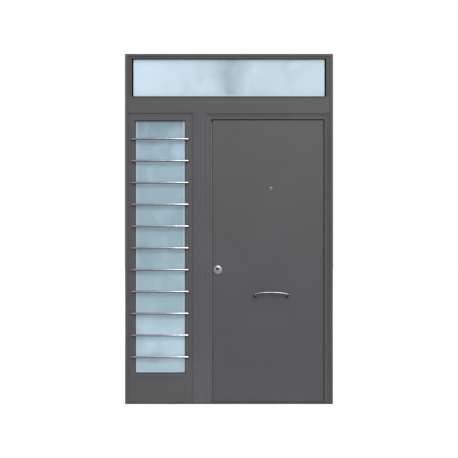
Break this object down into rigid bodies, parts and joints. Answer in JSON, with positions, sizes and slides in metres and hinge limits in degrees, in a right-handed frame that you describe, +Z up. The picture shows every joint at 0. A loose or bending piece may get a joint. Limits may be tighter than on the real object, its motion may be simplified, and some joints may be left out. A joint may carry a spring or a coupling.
{
  "type": "security door with side light and transom light",
  "caption": "Steel entrance door set: a plain hinged leaf beside a fixed glazed side light behind guard bars, with a glazed transom above.",
  "frame": {"origin": "on the floor, under the middle of the threshold, at mid depth of the frame", "axes": "+X to the right seen from outside, +Y into the building, +Z up"},
  "size_m": [1.485, 0.1655, 2.5],
  "materials": {
    "grey_paint": "satin powder coat, mid grey",
    "threshold": "satin, dark",
    "stainless": "fine brushed",
    "chrome": "polished",
    "satin_steel": "satin",
    "cylinder": "satin, dark",
    "hinge_steel": "satin powder coat, mid grey",
    "rubber": "matt black",
    "glass": "translucent, pale blue"
  },
  "bodies": {
    "frame": {"left_jamb": "grey_paint", "right_jamb": "grey_paint", "transom_left_post": "grey_paint", "transom_right_post": "grey_paint", "head_rail": "grey_paint", "transom_rail": "grey_paint", "mullion": "grey_paint", "threshold": "threshold", "door_frame_lock_side": "grey_paint", "door_frame_hinge_side": "grey_paint", "door_frame_head": "grey_paint", "door_frame_seal": "rubber", "side_light_left_stile": "grey_paint", "side_light_right_stile": "grey_paint", "side_light_top_rail": "grey_paint", "side_light_lower_panel": "grey_paint", "side_light_moulding": "grey_paint", "side_light_glass": "glass", "side_light_gasket": "rubber", "side_light_inner_beads": "grey_paint", "transom_glass": "glass", "transom_gasket": "rubber", "transom_inner_beads": "grey_paint", "strike_plate": "satin_steel", "guard_bars": "stainless", "guard_bar_posts": "stainless", "hinge_frame_halves": "hinge_steel"},
    "leaf": {"leaf_core": "grey_paint", "leaf_outer_panel": "grey_paint", "leaf_inner_panel": "grey_paint", "lock_escutcheon": "satin_steel", "lock_cylinder": "cylinder", "lock_faceplate": "satin_steel", "peephole": "satin_steel", "pull_handle": "chrome", "hinge_leaf_halves": "hinge_steel", "inner_handle": "satin_steel", "thumb_turn": "satin_steel"}
  },
  "joints": [
    {"name": "leaf_hinge", "type": "hinge", "parent": "frame", "child": "leaf", "pos_m": [0.697, 0.049, 1.02], "axis": [0, 0, -1], "range_deg": [0, 100]}
  ]
}
